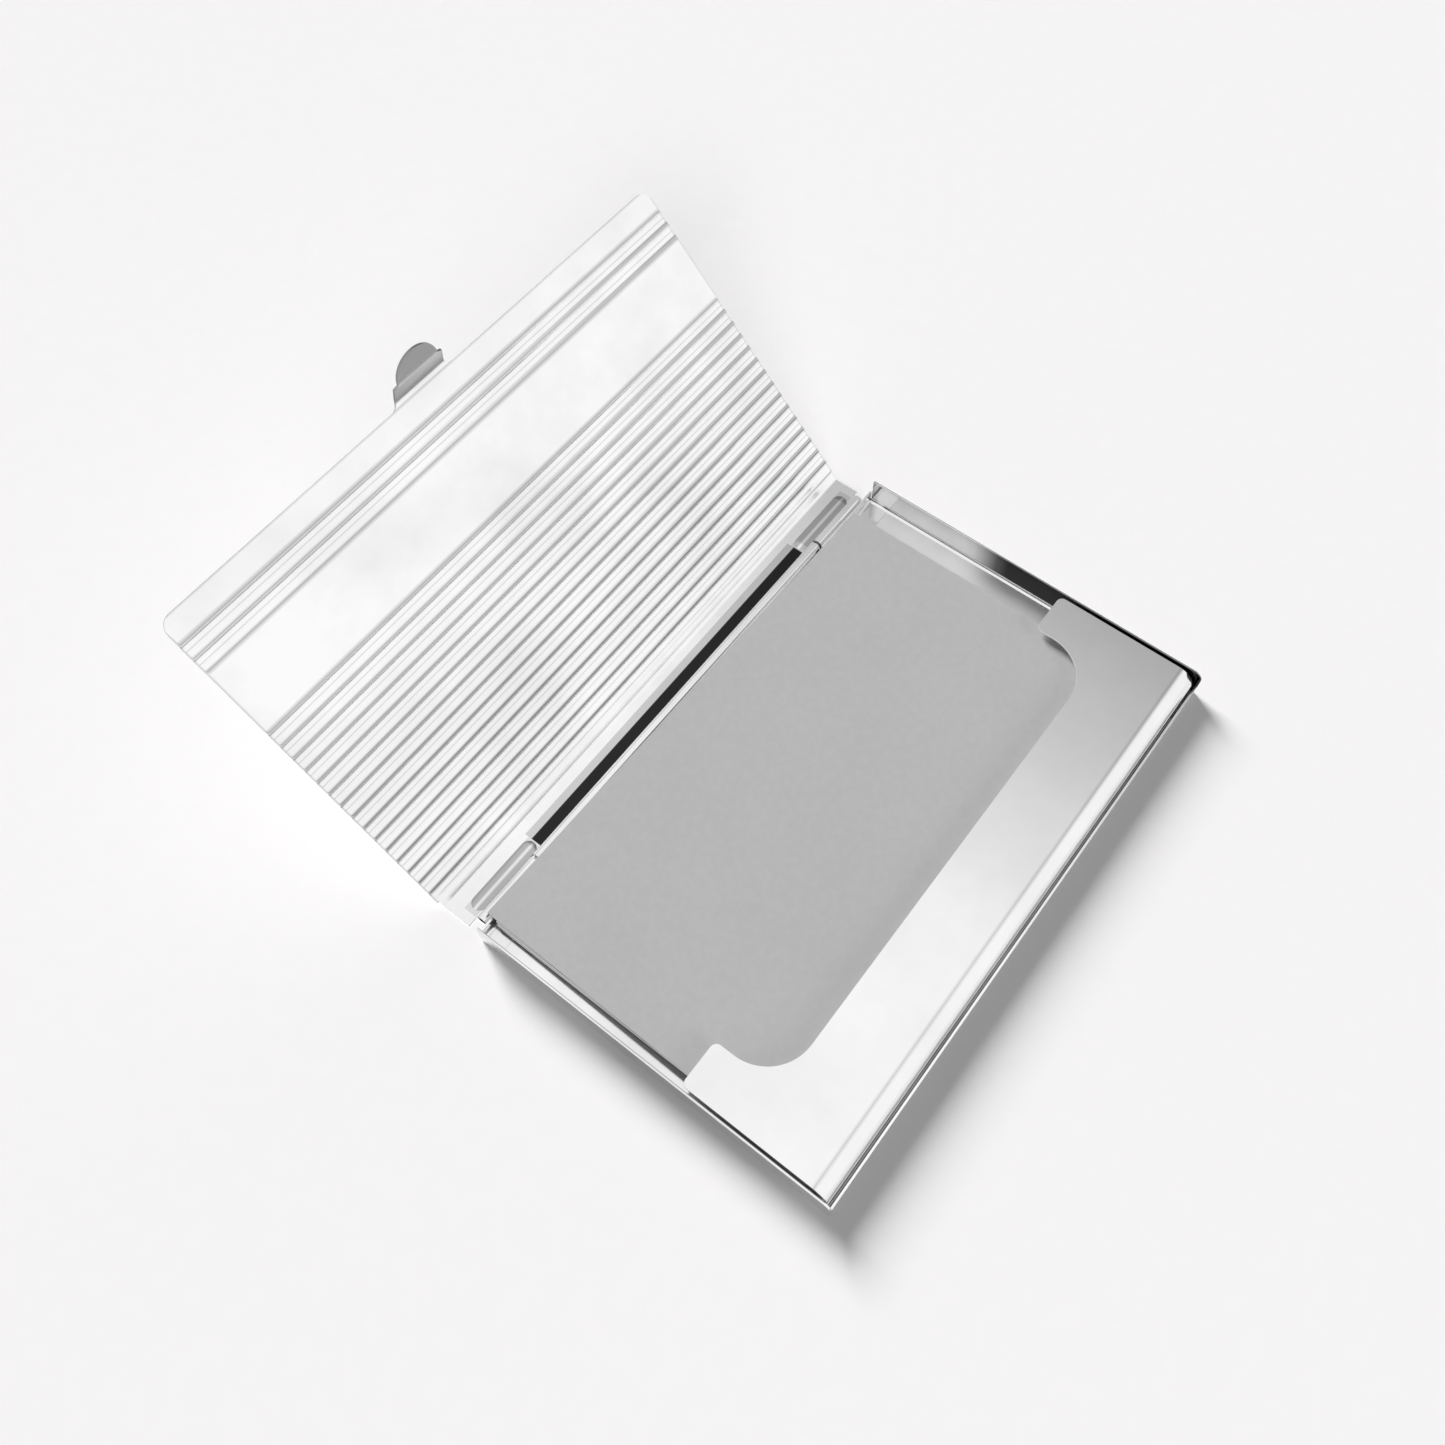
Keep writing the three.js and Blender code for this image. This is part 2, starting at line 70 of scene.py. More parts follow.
RET_T, RET_HALF, RET_TOP, ROLL = 0.3, HALF - SHEET - 0.4, WALL - 0.2, 3.0
RET_GAP, FOOT_DEPTH, FOOT_GAP, FOOT_BEND = 0.3, 1.9, 0.1, 0.5
EAR_WIDTH, EAR_DEPTH, EAR_CORNER = 7.1, 24.0, 1.0
NOTCH_DEPTH, NOTCH_RADIUS = 13.8, 7.2

# ---- Steps of the bent and rounded stretches ----
RIB_STEPS = 18
CURL_STEPS = 28
SPINE_STEPS = 40


# ---- Paths: lists of (y, z), with running length ----
def rounded(points, radius, segments=6, share=0.45):
    """A polyline with its inner corners rounded, as far as its legs allow."""
    out = [points[0]]
    for i in range(1, len(points) - 1):
        p = Vector(points[i])
        a, b = Vector(points[i - 1]) - p, Vector(points[i + 1]) - p
        la, lb = a.length, b.length
        a.normalize()
        b.normalize()
        half = math.acos(max(-1, min(1, a.dot(b)))) / 2
        reach = min(radius / math.tan(half), share * la, share * lb)
        r = reach * math.tan(half)
        if r < 0.02:
            out.append(tuple(p))
            continue
        c = p + (a + b).normalized() * (r / math.sin(half))
        f, t = p + a * reach - c, p + b * reach - c
        start = math.atan2(f.y, f.x)
        sweep = math.atan2(t.y, t.x) - start
        if sweep > math.pi:
            sweep -= 2 * math.pi
        if sweep < -math.pi:
            sweep += 2 * math.pi
        for k in range(segments + 1):
            g = start + sweep * k / segments
            out.append((c.x + r * math.cos(g), c.y + r * math.sin(g)))
    out.append(points[-1])
    return out


def arc(cy, cz, r, start, sweep, n):
    """Points of an arc about (cy, cz), angles in radians."""
    return [(cy + r * math.cos(start + sweep * k / n), cz + r * math.sin(start + sweep * k / n))
            for k in range(n + 1)]


def curl_sweep(mid, t):
    """How far a sheet of thickness t curls about the pin before its end would meet itself."""
    return 2 * math.pi - math.acos((mid - t / 2 - CURL_SEAM) / (mid + t / 2))


class Path:
    """A bent sheet's middle line, addressed by its running length."""

    def __init__(self, points, start=0.0):
        self.p = [Vector(q) for q in points]
        self.s = [start]
        for a, b in zip(self.p, self.p[1:]):
            self.s.append(self.s[-1] + (b - a).length)

    def at(self, s):
        i = 0
        while i < len(self.s) - 2 and s > self.s[i + 1]:
            i += 1
        span = max(self.s[i + 1] - self.s[i], 1e-9)
        return self.p[i].lerp(self.p[i + 1], (s - self.s[i]) / span)


def corner(cx, cy, r, a0, a1, n=8):
    """Points of a round corner, angles in degrees."""
    return [(cx + r * math.cos(math.radians(a0 + (a1 - a0) * k / n)),
             cy + r * math.sin(math.radians(a0 + (a1 - a0) * k / n))) for k in range(n + 1)]


# ---- Mesh making ----
def cut(bm, point, normal, near):
    """Cuts the mesh by a plane; a vertex nearer to it than near lies on it."""
    geom = bm.verts[:] + bm.edges[:] + bm.faces[:]
    bmesh.ops.bisect_plane(bm, geom=geom, dist=near, plane_co=point, plane_no=normal)


def applied(ob):
    """The object's mesh with its modifiers applied and taken off."""
    bpy.context.view_layer.update()
    depsgraph = bpy.context.evaluated_depsgraph_get()
    mesh = bpy.data.meshes.new_from_object(ob.evaluated_get(depsgraph))
    ob.modifiers.clear()
    ob.data = mesh
    return mesh


def bent_sheet(name, outline, path, thickness, mats, extra_x=(), painted_shade=None):
    """A flat outline in (x, s) is cut at every station of the path, bent along it and thickened.

    mats holds the material of the face side, of the back side where there are three, and of the cut edge.
    """
    bm = bmesh.new()
    verts = [bm.verts.new((x, s, 0)) for x, s in outline]
    bm.faces.new(verts)
    lo = min(s for _, s in outline)
    hi = max(s for _, s in outline)
    cuts = sorted({round(s, 5) for s in path.s if lo + 1e-3 < s < hi - 1e-3})
    for s in cuts:
        cut(bm, (0, s, 0), (0, 1, 0), 1e-6)
    for x in extra_x:
        cut(bm, (x, 0, 0), (1, 0, 0), 1e-6)
    bmesh.ops.remove_doubles(bm, verts=bm.verts, dist=1e-5)
    layer = bm.verts.layers.float.new("painted_shade")
    for v in bm.verts:
        x, s = v.co.x, v.co.y
        v[layer] = painted_shade(x, s) if painted_shade else 0.0
        q = path.at(s)
        v.co = (x * MM, q.x * MM, q.y * MM)
    bmesh.ops.recalc_face_normals(bm, faces=bm.faces)
    return make(name, bm, mats, thickness)


def make(name, bm, mats, thickness=None, bevel=0.05):
    """An object from a bmesh, thickened and with its edges broken; thickness and bevel in millimetres."""
    mesh = bpy.data.meshes.new(name)
    bm.to_mesh(mesh)
    bm.free()
    for material in mats:
        mesh.materials.append(material)
    ob = bpy.data.objects.new(name, mesh)
    bpy.context.scene.collection.objects.link(ob)
    if thickness:
        m = ob.modifiers.new("thickness", "SOLIDIFY")
        m.thickness = thickness * MM
        m.offset = 0
        m.use_even_offset = True
        m.use_quality_normals = True
        m.material_offset = len(mats) - 2
        m.material_offset_rim = len(mats) - 1
    if bevel:
        m = ob.modifiers.new("edge", "BEVEL")
        m.width = bevel * MM
        m.segments = 2
        m.limit_method = "ANGLE"
        m.angle_limit = math.radians(60)
        m.harden_normals = False
    done = applied(ob)
    done.shade_smooth()
    done.set_sharp_from_angle(angle=math.radians(38))
    # Flat faces keep their flat shading next to a bevel.
    m = ob.modifiers.new("flat", "WEIGHTED_NORMAL")
    m.mode = "FACE_AREA"
    m.weight = 80
    m.keep_sharp = True
    applied(ob).name = name
    return ob


def joined(name, obs):
    """Several objects joined into the first."""
    for o in obs:
        o.select_set(True)
    bpy.context.view_layer.objects.active = obs[0]
    chosen = {"active_object": obs[0], "selected_editable_objects": obs, "selected_objects": obs}
    with bpy.context.temp_override(**chosen):
        bpy.ops.object.join()
    obs[0].name = name
    obs[0].data.name = name
    for o in bpy.context.selected_objects:
        o.select_set(False)
    return obs[0]


def plate(name, outline, x0, x1, mats, painted_shade=None):
    """A flat plate with an outline in (y, z), from x0 to x1."""
    bm = bmesh.new()
    a = [bm.verts.new((x0 * MM, y * MM, z * MM)) for y, z in outline]
    f = bm.faces.new(a)
    r = bmesh.ops.extrude_face_region(bm, geom=[f])
    moved = [g for g in r["geom"] if isinstance(g, bmesh.types.BMVert)]
    bmesh.ops.translate(bm, verts=moved, vec=((x1 - x0) * MM, 0, 0))
    # Stations every 2 mm along the plate carry its painted shade.
    for y in range(-28, 29, 2):
        cut(bm, (0, y * MM, 0), (0, 1, 0), 1e-9)
    bmesh.ops.recalc_face_normals(bm, faces=bm.faces)
    layer = bm.verts.layers.float.new("painted_shade")
    for v in bm.verts:
        v[layer] = painted_shade(v.co.x / MM, v.co.y / MM) if painted_shade else 0.0
    return make(name, bm, mats, None, 0.09)


# ---- Materials ----
def new_material(name):
    m = bpy.data.materials.new(name)
    m.use_nodes = True
    return m, m.node_tree, m.node_tree.nodes["Principled BSDF"]


def node(nt, kind, **values):
    """A new node; a value goes to the input of that name, or else to the setting."""
    n = nt.nodes.new(kind)
    for k, v in values.items():
        if k in n.inputs:
            n.inputs[k].default_value = v
        else:
            setattr(n, k, v)
    return n


def ramp(nt, stops):
    """A colour ramp of greys, from (position, value) stops."""
    n = nt.nodes.new("ShaderNodeValToRGB")
    e = n.color_ramp.elements
    while len(e) > 1:
        e.remove(e[-1])
    e[0].position, e[0].color = stops[0][0], (stops[0][1],) * 3 + (1,)
    for p, v in stops[1:]:
        x = e.new(p)
        x.color = (v,) * 3 + (1,)
    return n


def dusted(nt, coord, colour, amount):
    """Dark specks of dust over a colour; a larger amount gives more of them."""
    link = nt.links.new
    specks = node(nt, "ShaderNodeTexVoronoi", Scale=110.0)
    link(coord, specks.inputs["Vector"])
    near = node(nt, "ShaderNodeMath", operation="LESS_THAN")
    near.inputs[1].default_value = 0.035
    link(specks.outputs["Distance"], near.inputs[0])
    pick = node(nt, "ShaderNodeTexNoise", Scale=55.0, Detail=0.0)
    link(coord, pick.inputs["Vector"])
    some = node(nt, "ShaderNodeMath", operation="GREATER_THAN")
    some.inputs[1].default_value = 1 - amount
    link(pick.outputs["Fac"], some.inputs[0])
    both = node(nt, "ShaderNodeMath", operation="MULTIPLY")
    link(near.outputs[0], both.inputs[0])
    link(some.outputs[0], both.inputs[1])
    spot = node(nt, "ShaderNodeMix", data_type="RGBA")
    link(both.outputs[0], spot.inputs["Factor"])
    link(colour, spot.inputs["A"])
    spot.inputs["B"].default_value = (0.08, 0.07, 0.06, 1)
    return spot.outputs["Result"]


def polished_steel(name, base, rough, cloud=0.05, scratches=0.02, dust=0.0, with_painted_shade=True):
    """Polished plated steel: faint cloudy polish marks, hair-fine scratches along X and specks of dust.

    Where asked, the mesh's painted shade attribute (0 to 1) darkens it: painted shade and painted
    reflections.
    """
    m, nt, bsdf = new_material(name)
    link = nt.links.new
    coord = node(nt, "ShaderNodeTexCoord").outputs["Object"]
    bsdf.inputs["Metallic"].default_value = 1.0
    clouds = node(nt, "ShaderNodeTexNoise", Scale=55.0, Detail=5.0, Roughness=0.6)
    link(coord, clouds.inputs["Vector"])
    cloudy = ramp(nt, [(0.35, 0.0), (0.7, 1.0)])
    link(clouds.outputs["Fac"], cloudy.inputs["Fac"])
    amount = node(nt, "ShaderNodeMath", operation="MULTIPLY")
    amount.inputs[1].default_value = cloud * 10
    link(cloudy.outputs["Color"], amount.inputs[0])
    lit = node(nt, "ShaderNodeMix", data_type="RGBA")
    lit.inputs["A"].default_value = (*base, 1)
    lit.inputs["B"].default_value = tuple(c * 0.72 for c in base) + (1,)
    link(amount.outputs[0], lit.inputs["Factor"])
    colour = lit.outputs["Result"]
    if with_painted_shade:
        # Painted shade and painted reflections: the attribute mixes the colour towards black.
        painted_shade = node(nt, "ShaderNodeAttribute", attribute_name="painted_shade")
        dark = node(nt, "ShaderNodeMix", data_type="RGBA")
        link(painted_shade.outputs["Fac"], dark.inputs["Factor"])
        link(colour, dark.inputs["A"])
        dark.inputs["B"].default_value = (0.012, 0.012, 0.013, 1)
        colour = dark.outputs["Result"]
    if dust:
        colour = dusted(nt, coord, colour, dust)
    link(colour, bsdf.inputs["Base Color"])
    roughness = node(nt, "ShaderNodeMapRange")
    roughness.inputs["To Min"].default_value = rough * 0.8
    roughness.inputs["To Max"].default_value = rough * 1.35
    link(clouds.outputs["Fac"], roughness.inputs["Value"])
    link(roughness.outputs["Result"], bsdf.inputs["Roughness"])
    stretch = node(nt, "ShaderNodeMapping")
    stretch.inputs["Scale"].default_value = (60.0, 2600.0, 2600.0)
    link(coord, stretch.inputs["Vector"])
    hair = node(nt, "ShaderNodeTexNoise", Scale=1.0, Detail=5.0, Roughness=0.7)
    link(stretch.outputs["Vector"], hair.inputs["Vector"])
    bump = node(nt, "ShaderNodeBump")
    bump.inputs["Strength"].default_value = scratches * 0.5
    bump.inputs["Distance"].default_value = 0.0001
    link(hair.outputs["Fac"], bump.inputs["Height"])
    link(bump.outputs["Normal"], bsdf.inputs["Normal"])
    return m


def card_stock(name, value):
    """Uncoated grey board: fine fibre mottling and a slightly rough tooth."""
    m, nt, bsdf = new_material(name)
    link = nt.links.new
    coord = node(nt, "ShaderNodeTexCoord")
    fibre = node(nt, "ShaderNodeTexNoise", Scale=900.0, Detail=6.0, Roughness=0.65)
    link(coord.outputs["Object"], fibre.inputs["Vector"])
    blotch = node(nt, "ShaderNodeTexNoise", Scale=70.0, Detail=3.0)
    link(coord.outputs["Object"], blotch.inputs["Vector"])
    both = node(nt, "ShaderNodeMix", data_type="FLOAT")
    both.inputs["Factor"].default_value = 0.3
    link(fibre.outputs["Fac"], both.inputs["A"])
    link(blotch.outputs["Fac"], both.inputs["B"])
    c = ramp(nt, [(0.3, value * 0.95), (0.7, value * 1.04)])
    link(both.outputs["Result"], c.inputs["Fac"])
    link(c.outputs["Color"], bsdf.inputs["Base Color"])
    bsdf.inputs["Roughness"].default_value = 0.85
    bsdf.inputs["Specular IOR Level"].default_value = 0.25
    bump = node(nt, "ShaderNodeBump")
    bump.inputs["Strength"].default_value = 0.12
    bump.inputs["Distance"].default_value = 0.00008
    link(fibre.outputs["Fac"], bump.inputs["Height"])
    link(bump.outputs["Normal"], bsdf.inputs["Normal"])
    return m


def dress(ob, body, slot, *nodes):
    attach(ob, body)
    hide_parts(*nodes)


steel = polished_steel("polished_steel_tray", (0.90, 0.90, 0.905), 0.10, dust=0.32)
steel_floor = polished_steel("satin_steel_floor", (0.93, 0.93, 0.935), 0.42, cloud=0.03)
steel_lid = polished_steel("polished_steel_lid", (0.965, 0.965, 0.968), 0.16, cloud=0.045, dust=0.34)
steel_outside = polished_steel("polished_steel_outside", (0.95, 0.95, 0.955), 0.14, 0.04, with_painted_shade=False)
steel_flap = polished_steel("polished_steel_flap", (0.93, 0.93, 0.935), 0.12, cloud=0.03, dust=0.3)
lid_rim = polished_steel("cut_edge_lid", (0.42, 0.42, 0.43), 0.3, scratches=0.08)
bright_rim = polished_steel("cut_edge_bright", (0.97, 0.97, 0.97), 0.2, cloud=0.02, scratches=0.05)
wire = polished_steel("drawn_wire", (0.55, 0.55, 0.56), 0.3, scratches=0.1)
paper = card_stock("grey_card", 0.475)

# ---- Lid, drawn closed about the pin and turned open ----
sin_o, cos_o = math.sin(OPEN), math.cos(OPEN)
spine_n = Vector((sin_o, -cos_o))
spine_up = Vector((cos_o, sin_o))
FREE = -LID_LEN


def spine_point(distance, up):
    """A point of (y, z) behind the pin and up along the spine of the closed lid."""
    return tuple(spine_n * distance + spine_up * up)


def smooth(t):
    """0 up to 0, 1 from 1, with a soft start and end."""
    t = max(0.0, min(1.0, t))
    return t * t * (3 - 2 * t)


def rib_height(u):
    """Height of the lid sheet above its flat level, at a distance from the free edge."""
    for group in GROOVES:
        if group[0] <= u <= group[-1]:
            t = (u - group[0]) % RIB_PITCH
            d = min(t, RIB_PITCH - t)
            dip = smooth(1 - abs(d - RIB_PITCH / 2) / 0.22)
            return RIB_RELIEF * (smooth((d - 0.08) / 0.36) - 0.12 * dip)
    return 0.0


def lid_points():
    """Middle line of the lid from its free edge to the end of the curl, in (y, z) about the pin."""
    stations = [0.0, 0.3]
    for group in GROOVES:
        stations.append(group[0] - 0.6)
        n = (len(group) - 1) * RIB_STEPS
        stations += [group[0] + (group[-1] - group[0]) * k / n for k in range(n + 1)]
        stations.append(group[-1] + 0.6)
    pts = [(FREE + u, LID_Z + rib_height(u)) for u in stations]
    bend_y = (LID_CURL + LID_Z * cos_o) / sin_o
    tail = rounded([pts[-1], (bend_y, LID_Z), spine_point(LID_CURL, 0)], SPINE_BEND, 16, 0.92)
    pts += tail[1:-1]
    bend_end, foot = Vector(tail[-2]), Vector(spine_point(LID_CURL, 0))
    pts += [tuple(bend_end.lerp(foot, k / SPINE_STEPS)) for k in range(1, SPINE_STEPS)]
    start = math.atan2(spine_n.y, spine_n.x)
    pts += arc(0, 0, LID_CURL, start, -curl_sweep(LID_CURL, LID_T), CURL_STEPS)
    return pts


def tab_points():
    """Middle line of the tab from its tip to the lid's free edge."""
    start = Vector((FREE - TAB_START, LID_Z))
    crease = start + BAND_LENGTH * Vector((-math.cos(BAND_TILT), -math.sin(BAND_TILT)))
    tip = crease + LIP_LENGTH * Vector((-math.cos(LIP_TILT), -math.sin(LIP_TILT)))
    beside = 0.15
    pts = rounded([(FREE, LID_Z), tuple(start), tuple(crease)], TAB_BEND, 7, 0.6)[:-1]
    pts.append(tuple(crease + beside * (start - crease).normalized()))
    pts.append(tuple(crease + beside * (tip - crease).normalized()))
    pts += [tuple(crease.lerp(tip, k / 4)) for k in range(1, 5)]
    return pts[::-1]


tab = tab_points()
s_tip = -Path(tab).s[-1]
lid_path = Path(tab[:-1] + lid_points(), s_tip)


def up_of(q):
    """Height of a point of (y, z) up the spine from the pin."""
    return q.dot(spine_up)


def s_below(height):
    """Running length where the spine first comes below a height above the pin."""
    step = 0.002
    s = 30.0
    while up_of(lid_path.at(s)) >= height:
        s += step
    return s


def lid_half_outline():
    """Right half of the lid's flat outline in (x, s), from the tab's tip to the foot of the spine."""
    quarter = math.pi / 2
    rounds = [quarter * k / 15 for k in range(1, 15)]
    right = [(0.0, s_tip)]
    right += [(LIP_HALF * math.sin(g), s_crease + (s_tip - s_crease) * math.cos(g)) for g in rounds]
    right += [(LIP_HALF, s_crease), (CREASE_HALF, s_crease + 0.3)]
    for g in [quarter * k / 8 for k in range(9)]:
        right.append((NECK_HALF + TAB_FILLET * (1 - math.cos(g)), TAB_FILLET * (math.sin(g) - 1)))
    right += corner(LID_HALF - LID_CORNER, LID_CORNER, LID_CORNER, -90, 0)
    stepped = HALF - CORNER_STEP
    s_step = s_below(CORNER_STEP_DEPTH)
    s_clear = s_foot - (PIN_Z + KNUCKLE_SLOT)
    s_end = lid_path.s[-1]
    right += [(LID_HALF, s_step), (stepped, s_step), (stepped, s_clear), (KNUCKLE_END, s_clear)]
    right += [(KNUCKLE_END, s_end), (KNUCKLE_START, s_end), (KNUCKLE_START, s_clear)]
    return right


s_foot = lid_path.s[-1 - CURL_STEPS]
crease_y = FREE - TAB_START - BAND_LENGTH * math.cos(BAND_TILT)
s_crease = min(lid_path.s, key=lambda s: abs(lid_path.at(s).x - crease_y))
right = lid_half_outline()
lid_outline = right + [(-x, s) for x, s in reversed(right[1:])]


def band_tone(d, inner, outer):
    """1 within the inner distance, 0 beyond the outer one."""
    return 1 - smooth((abs(d) - inner) / (outer - inner))


def tab_painted_shade(s):
    """Painted shade on the tab, darker in a band beside its crease, with a painted highlight line along
    the crease.
    """
    past = s - s_crease
    return 0.33 + 0.25 * band_tone(past - 1.5, 0.7, 1.1) - 0.3 * band_tone(past, 0.1, 0.3)


def groove_painted_shade(u):
    """Painted shade along the grooves, darker towards the hinge, with a fainter painted line midway
    between two of them.
    """
    deep = 0.5 + 0.35 * smooth((u - 15.0) / 30.0)
    tones = [0.0]
    for group in GROOVES:
        tones += [deep * band_tone(u - c, 0.05, 0.17) for c in group]
        tones += [0.26 * band_tone(u - c - RIB_PITCH / 2, 0.02, 0.12) for c in group[:-1]]
    return max(tones)


def spine_painted_shade(x, up):
    """Painted shade: a black strip standing in for the shadowed slot beside the pin, with a dull painted
    reflection above it; at both ends the black is lower and the other fainter.
    """
    if abs(x) < STRIP_HALF + 0.05:
        return max(0.985 * band_tone(up - 1.75, 1.15, 1.3), 0.34 * band_tone(up - 3.5, 0.55, 0.7))
    if abs(x) < KNUCKLE_END + 0.05:
        return max(0.95 * band_tone(up + 0.3, 1.1, 1.3), 0.2 * band_tone(up - 2.4, 1.0, 1.2))
    return 0.0


def lid_painted_shade(x, s):
    """Painted shade and painted reflections on the inner face of the lid."""
    if s < -0.9:
        return tab_painted_shade(s)
    u = lid_path.at(s).x - FREE
    # Painted shade along the lid's free edge and sides.
    if (u < 0.1 and s > -0.2) or abs(x) > LID_HALF - 0.05:
        return EDGE_PAINTED_SHADE
    if s < s_foot - SPINE_SHADED:
        return groove_painted_shade(u)
    return spine_painted_shade(x, s_foot - s)


STRIP_HALF = BEAD_START - 0.2
SPINE_SHADED = 8.0
# Painted shade along the lid's edges.
EDGE_PAINTED_SHADE = 0.28
columns = (STRIP_HALF, STRIP_HALF + 0.1, KNUCKLE_END, KNUCKLE_END + 0.1, LID_HALF - 0.3)
lid_columns = [side * x for side in (-1, 1) for x in columns]
lid_mats = (steel_outside, steel_lid, lid_rim)
lid = bent_sheet("lid_sheet", lid_outline, lid_path, LID_T, lid_mats, lid_columns, lid_painted_shade)


def bead(name, side):
    """Raised bead with half-ellipsoid ends on the inner face of the spine."""
    bm = bmesh.new()
    half, sunk = BEAD_WIDTH / 2, 0.08
    x0, x1 = BEAD_START + half, BEAD_END - half
    rings, across = 10, 24
    quarter = math.pi / 2
    rounds = [quarter * k / rings for k in range(rings + 1)]
    ends = [(x0 - half * math.cos(g), math.sin(g)) for g in rounds]
    ends += [(x1 + half * math.sin(g), math.cos(g)) for g in rounds]
    centre = Vector(spine_point(LID_CURL - LID_T / 2, BEAD_FROM_PIN))
    rows = []
    for j in range(across + 1):
        f = (j / across * 2 - 1) * quarter
        row = []
        for x, c in ends:
            sideways, raised = half * math.sin(f) * c, BEAD_HEIGHT * math.cos(f) * c - sunk
            q = centre - spine_up * sideways - spine_n * raised
            row.append(bm.verts.new((side * x * MM, q.x * MM, q.y * MM)))
        rows.append(row)
    for a, b in zip(rows, rows[1:]):
        for k in range(len(a) - 1):
            bm.faces.new((a[k], a[k + 1], b[k + 1], b[k]))
    bmesh.ops.remove_doubles(bm, verts=bm.verts, dist=1e-7)
    bmesh.ops.holes_fill(bm, edges=[e for e in bm.edges if e.is_boundary], sides=0)
    bmesh.ops.recalc_face_normals(bm, faces=bm.faces)
    layer = bm.verts.layers.float.new("painted_shade")
    # Painted reflection: the bead is grey, with a lighter painted highlight stripe along its middle.
    for v in bm.verts:
        along = up_of(Vector((v.co.y, v.co.z)) / MM)
        v[layer] = 0.5 - 0.4 * band_tone(along - 2.2, 0.1, 0.35)
    return make(name, bm, (steel_lid,), None, 0)


lid = joined("lid_sheet", [lid, bead("bead_right", 1), bead("bead_left", -1)])
lid.data.transform(Matrix.Translation((0, PIN_Y * MM, PIN_Z * MM)) @ Matrix.Rotation(-OPEN, 4, "X"))
dress(lid, "lid", "polished_steel", "lid")

# ---- Tray ----
mid = SHEET / 2
edge = HALF - mid
STRIP_X = 41.3


# Painted shade: the strip beside the right wall is slightly darkened.
def floor_painted_shade(x, s):
    return 0.05 if x > STRIP_X else 0.0


def wall_painted_reflection(x, y):
    """Painted reflection: the inner face of the right wall is darkened a little all along and strongly
    from its middle forward, as if mirroring a dark part of the room, and darker again at its rear end.
    """
    if x > HALF - mid:
        return 0.0
    return max(0.14 + 0.85 * smooth((11.5 - y) / 7.0), 0.6 * smooth((y - 28.0) / 1.0))


def strip(name, x0, x1, path, extra_x=(), painted_shade=None):
    """A sheet of one width, bent along the whole of a path."""
    end = path.s[-1]
    outline = [(x0, 0), (x1, 0), (x1, end), (x0, end)]
    return bent_sheet(name, outline, path, SHEET, (steel, bright_rim), extra_x, painted_shade)


def tray_floor():
    """Front wall and floor; the strip beside the right wall has a satin finish."""
    path = Path(rounded([(FRONT + mid, FRONT_WALL), (FRONT + mid, mid), (FLOOR_END, mid)], TRAY_BEND))
    pan = strip("tray_floor", -edge, edge, path, (STRIP_X - 0.3, STRIP_X + 0.3), floor_painted_shade)
    pan.data.materials[1] = steel_floor
    pan.data.materials.append(bright_rim)
    for p in pan.data.polygons:
        beside_wall = p.center.x > (STRIP_X - 0.3) * MM
        p.material_index = 2 if p.material_index == 1 else int(beside_wall)
    return pan


def fold():
    """The rounded fold between the floor and the right side wall."""
    bm = bmesh.new()
    r, x, y0, y1 = 0.6, HALF - SHEET, FRONT + 1.0, REAR - 0.1
    rounds = [math.pi / 16 * k for k in range(9)]
    section = [(x - r + r * math.sin(g), SHEET + r - r * math.cos(g)) for g in rounds]
    section.append((x + 0.1, SHEET - 0.1))
    rows = [[bm.verts.new((a * MM, y * MM, z * MM)) for a, z in section] for y in (y0, y1)]
    n = len(section)
    for k in range(n):
        bm.faces.new((rows[0][k], rows[0][(k + 1) % n], rows[1][(k + 1) % n], rows[1][k]))
    bm.faces.new(rows[0])
    bm.faces.new(rows[1])
    bmesh.ops.recalc_face_normals(bm, faces=bm.faces)
    bm.verts.layers.float.new("painted_shade")
    return make("fold", bm, (steel,), None, 0)


def knuckle():
    """The middle of the rear edge, curled about the pin."""
    curl = PIN_Z - mid
    sweep = curl_sweep(curl, SHEET)
    path = Path([(FLOOR_END, mid)] + arc(PIN_Y, PIN_Z, curl, -math.pi / 2, sweep, CURL_STEPS))
    return strip("knuckle", -BASE_KNUCKLE_HALF, BASE_KNUCKLE_HALF, path)


def rear_lips():
    """Low upturned lips on both sides of the knuckle."""
    path = Path(rounded([(FLOOR_END, mid), (LIP_Y + mid, mid), (LIP_Y + mid, LIP_TOP)], TRAY_BEND))
    return [strip("lip", a, b, path) for a, b in ((-edge, -BASE_KNUCKLE_HALF), (BASE_KNUCKLE_HALF, edge))]


def side_walls():
    outline = [(FRONT, 0), (REAR, 0), (REAR, WALL)]
    outline += corner(FRONT + WALL_CORNER, WALL - WALL_CORNER, WALL_CORNER, 90, 180)
    left = plate("wall", outline, -HALF, -HALF + SHEET, (steel,))
    return [left, plate("wall", outline, HALF - SHEET, HALF, (steel,), wall_painted_reflection)]


tray = joined("tray_shell", [tray_floor(), knuckle()] + rear_lips() + side_walls() + [fold()])
dress(tray, "base", "polished_steel", "tray")

# ---- Card retainer ----
skirt = FRONT + SHEET + RET_GAP + RET_T / 2
top = RET_TOP - RET_T / 2
roll = ROLL - RET_T / 2


def retainer_points():
    """Middle line from the foot, up the skirt and over the rolled front to the ends of the ears."""
    foot_z = SHEET + FOOT_GAP + RET_T / 2
    pts = rounded([(skirt + FOOT_DEPTH, foot_z), (skirt, foot_z), (skirt, top - roll)], FOOT_BEND)[:-1]
    pts += arc(skirt + roll, top - roll, roll, math.pi, -math.pi / 2, 20)
    return pts + [(FRONT + EAR_DEPTH, top)]


